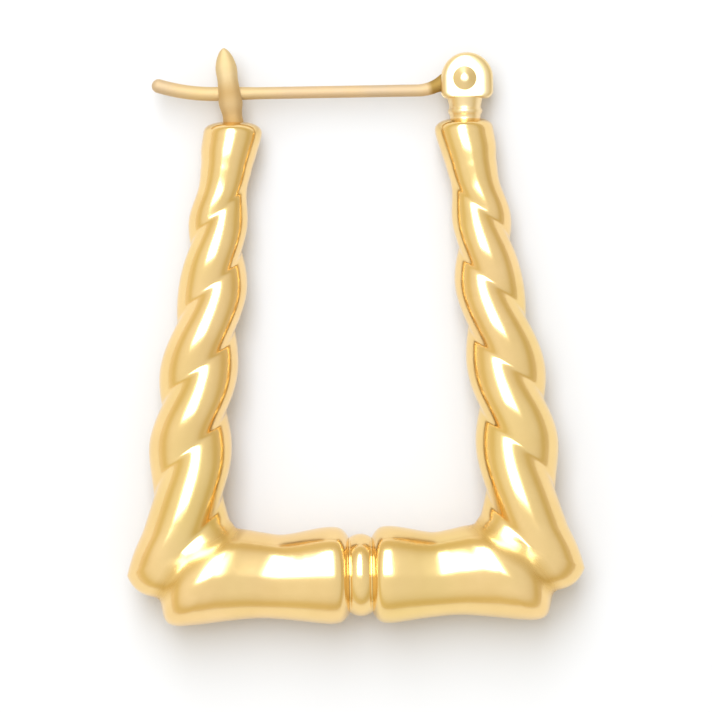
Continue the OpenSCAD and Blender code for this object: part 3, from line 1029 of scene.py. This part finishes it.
def build_ear_post(context):
    """The ear wire with its flat eye and its upturned tail."""
    sizes = context.scene.earring_fittings
    gold = gold_finish(context, WIRE_GOLD)
    wire = swept("ear_wire", wire_sections(sizes), WIRE_SIDES, gold)
    half_t = sizes.eye_t / 2
    round_r = EYE_WEAR * sizes.edge_round
    pairs = [
        (round_r * (1 - cosine) - half_t, sizes.eye_r - round_r * (1 - sine))
        for sine, cosine in quarter(EYE_ROUND_STEPS, 0)
    ]
    pairs += [(-height, radius) for height, radius in reversed(pairs)]
    eye = swept("wire_eye", round_rows(pairs, HINGE, True), ROUND_SIDES, gold)
    post = joined("ear_post_blank", wire, [eye])
    reach = RIVET_HIGH.z - RIVET_LOW.z
    pairs = [(-reach, sizes.eye_bore), (reach, sizes.eye_bore)]
    bore = swept("eye_bore", round_rows(pairs, HINGE, True), ROUND_SIDES, gold)
    post = joined("ear_post_blank", post, [bore], "DIFFERENCE")
    post = with_worn_edges("ear_post_wire", post, WIRE_WEAR * sizes.edge_round)
    finish_piece(post, gold, POST_BODY, "ear_post", SOFT_ANGLE)


def build_rivet(context):
    """The rivet that the wire turns on, with its two heads."""
    sizes = context.scene.earring_fittings
    gold = gold_finish(context, RIVET_GOLD)
    base = (RIVET_HIGH.z - RIVET_LOW.z) / 2 - sizes.head_h
    pairs = [(base, sizes.pin_r)]
    for up, radius in spread(RIVET_HEAD, HEAD_STEPS):
        pairs.append((base + sizes.head_h * up, sizes.head_r * radius))
    pairs = [(-height, radius) for height, radius in reversed(pairs)] + pairs
    rivet = swept("rivet", round_rows(pairs, HINGE, True), ROUND_SIDES, gold)
    finish_piece(rivet, gold, HOOP_BODY, "hinge_rivet", SOFT_ANGLE)


def rgba(tint):
    """A colour with full alpha."""
    return (*tint, 1.0)


def new_maker(tree_owner):
    """A maker on the emptied node tree of a material or a world."""
    tree_owner.use_nodes = True
    tree_owner.node_tree.nodes.clear()
    return TreeMaker(tree_owner.node_tree)


def gold_finish(context, finish):
    """Gold with painted shade in its creases, soft waves, cloudy wear and hairlines, and for the
    wire a painted shadow of the hinge's ears beside its eye.
    """
    found = bpy.data.materials.get(finish.name)
    if found:
        return found
    look = context.scene.earring_gold
    deep = rgba(getattr(look, finish.deep))
    material = bpy.data.materials.new(finish.name)
    make = new_maker(material)
    at = make.node("ShaderNodeTexCoord").outputs["Object"]

    def noise(scale, detail):
        """Noise between 0 and 1, with one scale or one for each axis."""
        where = at
        if isinstance(scale, tuple):
            where, scale = make.vector("MULTIPLY", at, scale), 1.0
        made = make.node("ShaderNodeTexNoise", vector=where, scale=scale, detail=detail)
        return Wire(make, made.outputs[0])

    def strength(mark, height):
        """How strong a mark is for some height of its noise, from 0 to 1."""
        return make.clamp((height - mark.floor) * mark.gain)

    stored = make.node("ShaderNodeAttribute", {"attribute_name": "crease"}).outputs["Fac"]
    # The crease attribute sets how much shade is painted in the creases
    crease = strength(CREASE_SHADE, Wire(make, stored))
    clouds, drift, specks, hairs, cross_hairs = (
        strength(mark, noise(mark.scale, mark.detail))
        for mark in (CLOUDS, DRIFT, SPECKS, HAIRS, CROSS_HAIRS)
    )
    scratches = hairs + cross_hairs

    toned = make.mix(clouds * CLOUDS.tone, rgba(getattr(look, finish.tint)), deep)
    toned = make.mix(drift * DRIFT.tone, toned, rgba(look.olive_gold))
    # Painted shade in the creases
    toned = make.mix(crease * CREASE_SHADE.tone, toned, deep)
    # Shadow of the hinge's ears, painted on the wire beside its eye
    if finish.tarnished:
        off = abs(Wire(make, make.vector("DISTANCE", at, HINGE)) / MM - EAR_SHADOW_AT)
        edge = (EAR_SHADOW_REACH - off) * EAR_SHADOW_EDGE
        ear_shadow_mask = make.clamp(edge + clouds * EAR_SHADOW_CLOUDS - EAR_SHADOW_LEAST)
        toned = make.mix(ear_shadow_mask, toned, rgba(look.tarnish))
    dulled = look.dull * make.clamp(crease * CREASE_SHADE.dull + clouds * CLOUDS.dull)
    rough = getattr(look, finish.polish) + dulled + specks * SPECKS.dull + scratches * HAIRS.dull
    waves = make.node("ShaderNodeBump", height=noise(WAVE_SCALE, 1.0),
                      distance=finish.wave_h * MM, strength=1.0)
    fine = make.node(
        "ShaderNodeBump", height=scratches * -HAIRS.dent - specks * SPECKS.dent,
        distance=DENT * MM, strength=1.0, normal=waves.outputs[0],
    )
    shader = make.node(
        "ShaderNodeBsdfPrincipled", base_color=toned, metallic=1.0, roughness=rough,
        normal=fine.outputs[0],
    )
    make.node("ShaderNodeOutputMaterial", surface=shader.outputs[0])
    return material


def build_camera(scene, look):
    """Camera straight above the lying earring."""
    camera = new_object("Camera", bpy.data.cameras.new("Camera"))
    camera.data.sensor_width = SENSOR
    camera.data.lens = SENSOR * look.distance / look.view_w
    camera.data.clip_start = NEAREST
    camera.data.clip_end = FARTHEST
    camera.location = (look.aim_x, look.aim_y, look.aim_z + look.distance)
    camera.rotation_euler = (0.0, 0.0, look.roll)
    scene.camera = camera


def build_softbox(name, look, radiance, margin):
    """Softbox overhead, behind the earring's top, larger than the key light by a margin."""
    box_w = look.key_right - look.key_left + 2 * margin
    box_d = look.key_far - look.key_near + 2 * margin
    box = new_object(name, bpy.data.lights.new(name, "AREA"))
    box.data.shape = "RECTANGLE"
    box.data.size = box_w
    box.data.size_y = box_d
    box.data.color = look.key_tint
    box.data.energy = radiance * math.pi * box_w * box_d
    box.location = ((look.key_left + look.key_right) / 2, (look.key_near + look.key_far) / 2,
                    look.key_height + margin)
    box.visible_camera = False


def build_floor(look):
    """Pale matt card under the earring."""
    material = bpy.data.materials.new("Pale card")
    make = new_maker(material)
    shader = make.node("ShaderNodeBsdfDiffuse", color=rgba(look.floor))
    make.node("ShaderNodeOutputMaterial", surface=shader.outputs[0])
    low = HOOP_LOW.z - FLOOR_GAP * MM
    data = bpy.data.meshes.new("Floor")
    corners = [(x * FLOOR_HALF, y * FLOOR_HALF, low)
               for x, y in ((-1, -1), (1, -1), (1, 1), (-1, 1))]
    data.from_pydata(corners, [], [(0, 1, 2, 3)])
    data.materials.append(material)
    new_object("Floor", data)


def build_studio(scene, look):
    """Studio walls and ceiling as tones by height, with dark flags low down."""
    world = bpy.data.worlds.new("Studio")
    make = new_maker(world)
    towards = make.node("ShaderNodeTexCoord").outputs["Generated"]
    parts = make.node("ShaderNodeSeparateXYZ", Vector=towards).outputs
    sideways = Wire(make, parts["X"])
    height = Wire(make, parts["Z"]) + FLAG_RISE * (1.0 - sideways * sideways)
    stops = [(at, getattr(look, tone)) for at, tone in STUDIO_TONES]
    tones = make.node("ShaderNodeValToRGB", {"stops": stops}, Fac=height / (1.0 + FLAG_RISE))
    back = make.node("ShaderNodeBackground", color=tones.outputs["Color"],
                     strength=1.0 - LEFT_BRIGHT * sideways)
    make.node("ShaderNodeOutputWorld", surface=back.outputs[0])
    scene.world = world
    scene.view_settings.view_transform = "Standard"


class EARRING_OT_stage(bpy.types.Operator):
    """Sets up the camera, the light and the floor"""

    bl_idname = "earring.stage"
    bl_label = "Stage"

    def execute(self, context):
        look = context.scene.earring_studio
        build_camera(context.scene, look)
        build_softbox("Key light", look, look.key, 0.0)
        build_softbox("Key glow", look, look.glow, look.glow_w)
        build_floor(look)
        build_studio(context.scene, look)
        return {"FINISHED"}


class EARRING_OT_hoop(bpy.types.Operator):
    """Builds the twisted legs and the bamboo bar"""

    bl_idname = "earring.hoop"
    bl_label = "Hoop"

    def execute(self, context):
        build_hoop_tube(context)
        return {"FINISHED"}


class EARRING_OT_catch(bpy.types.Operator):
    """Builds the catch on the left leg"""

    bl_idname = "earring.catch"
    bl_label = "Catch"

    def execute(self, context):
        build_catch(context)
        return {"FINISHED"}


class EARRING_OT_hinge(bpy.types.Operator):
    """Builds the hinge's ears on the right leg"""

    bl_idname = "earring.hinge"
    bl_label = "Hinge"

    def execute(self, context):
        build_hinge(context)
        return {"FINISHED"}


class EARRING_OT_ear_post(bpy.types.Operator):
    """Builds the hinged ear wire"""

    bl_idname = "earring.ear_post"
    bl_label = "Ear post"

    def execute(self, context):
        build_ear_post(context)
        return {"FINISHED"}


class EARRING_OT_rivet(bpy.types.Operator):
    """Builds the rivet that the ear wire turns on"""

    bl_idname = "earring.rivet"
    bl_label = "Rivet"

    def execute(self, context):
        build_rivet(context)
        return {"FINISHED"}


OPERATORS = (
    EARRING_OT_stage, EARRING_OT_hoop, EARRING_OT_catch, EARRING_OT_hinge, EARRING_OT_ear_post,
    EARRING_OT_rivet,
)
GROUPS = {
    "earring_hoop": HoopSizes,
    "earring_fittings": FittingSizes,
    "earring_gold": GoldLook,
    "earring_studio": StudioLook,
}


class EARRING_PT_panel(bpy.types.Panel):
    """Lists the earring's operators and settings"""

    bl_idname = "EARRING_PT_panel"
    bl_label = "Bamboo Hoop Earring"
    bl_space_type = "VIEW_3D"
    bl_region_type = "UI"
    bl_category = "Earring"

    def draw(self, context):
        column = self.layout.column()
        for operator in OPERATORS:
            column.operator(operator.bl_idname)
        for group, kind in GROUPS.items():
            column.separator()
            for name in kind.__annotations__:
                column.prop(getattr(context.scene, group), name)


def register():
    """Registers the classes and hangs their settings on the scene."""
    for kind in (*GROUPS.values(), *OPERATORS, EARRING_PT_panel):
        bpy.utils.register_class(kind)
    for group, kind in GROUPS.items():
        setattr(bpy.types.Scene, group, PointerProperty(type=kind))


def unregister():
    """Takes the settings and the classes away again."""
    for group in GROUPS:
        delattr(bpy.types.Scene, group)
    for kind in (EARRING_PT_panel, *reversed(OPERATORS), *reversed(list(GROUPS.values()))):
        bpy.utils.unregister_class(kind)


def main():
    """Builds the whole earring and its stage."""
    register()
    bpy.ops.earring.stage()
    bpy.ops.earring.hoop()
    bpy.ops.earring.catch()
    bpy.ops.earring.hinge()
    bpy.ops.earring.ear_post()
    bpy.ops.earring.rivet()


if __name__ == "__main__":
    main()
